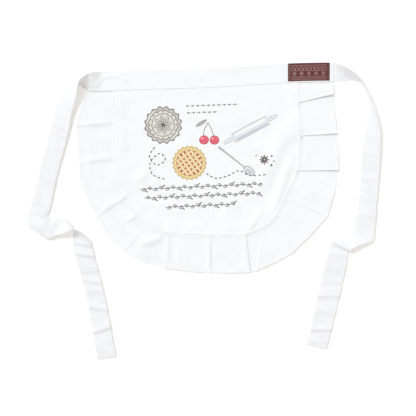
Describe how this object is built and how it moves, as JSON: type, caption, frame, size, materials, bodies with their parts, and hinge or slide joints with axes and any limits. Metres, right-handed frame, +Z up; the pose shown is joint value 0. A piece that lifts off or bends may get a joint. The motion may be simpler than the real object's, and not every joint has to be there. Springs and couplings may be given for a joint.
{
  "type": "mini apron",
  "caption": "White cotton half apron laid flat: rounded front panel, knife-pleated ruffle, folded waistband with a woven label, and two long ties.",
  "frame": {"origin": "middle of the waistband's back face, on the surface that the apron lies on", "axes": "+X along the waistband towards the label, +Y away from the skirt, +Z up out of the cloth's face"},
  "size_m": [0.6701, 0.5657, 0.0249],
  "materials": {
    "panel_cotton": "plain-woven bleached cotton, matt, with a small printed picture",
    "ruffle_cotton": "plain-woven bleached cotton, pressed into knife pleats",
    "band_cotton": "plain-woven bleached cotton, folded and topstitched",
    "tie_cotton": "plain-woven bleached cotton, two layers, edge stitched",
    "label_weave": "damask-woven label, maroon ground with a pale ornament"
  },
  "bodies": {
    "root": {"front_panel": "panel_cotton", "ruffle": "ruffle_cotton", "waistband": "band_cotton", "tie_left": "tie_cotton", "tie_right": "tie_cotton", "woven_label": "label_weave"}
  },
  "joints": []
}
